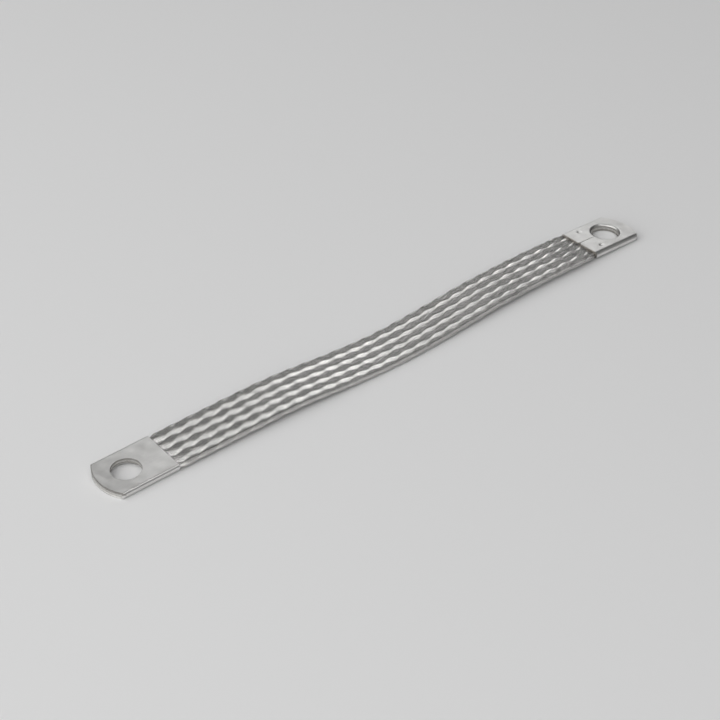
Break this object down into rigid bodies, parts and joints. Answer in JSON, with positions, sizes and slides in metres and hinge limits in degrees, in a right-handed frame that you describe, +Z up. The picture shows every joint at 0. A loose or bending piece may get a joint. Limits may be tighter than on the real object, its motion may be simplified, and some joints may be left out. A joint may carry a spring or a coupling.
{
  "type": "grounding strap",
  "caption": "Flat braided grounding strap of tinned copper with a pressed contact sleeve on each end, each sleeve rounded at its tip and punched with a bolt hole.",
  "frame": {"origin": "centre of the strap's footprint on the surface that it lies on", "axes": "+X along the strap from the near sleeve to the far sleeve, +Y across it, +Z up"},
  "size_m": [0.2, 0.0173, 0.0033],
  "materials": {
    "braid": "braid of fine tinned copper wires, bright",
    "sleeve": "tinned copper sheet, satin, pressed"
  },
  "bodies": {
    "root": {"braid": "braid", "near_sleeve": "sleeve", "far_sleeve": "sleeve"}
  },
  "joints": []
}
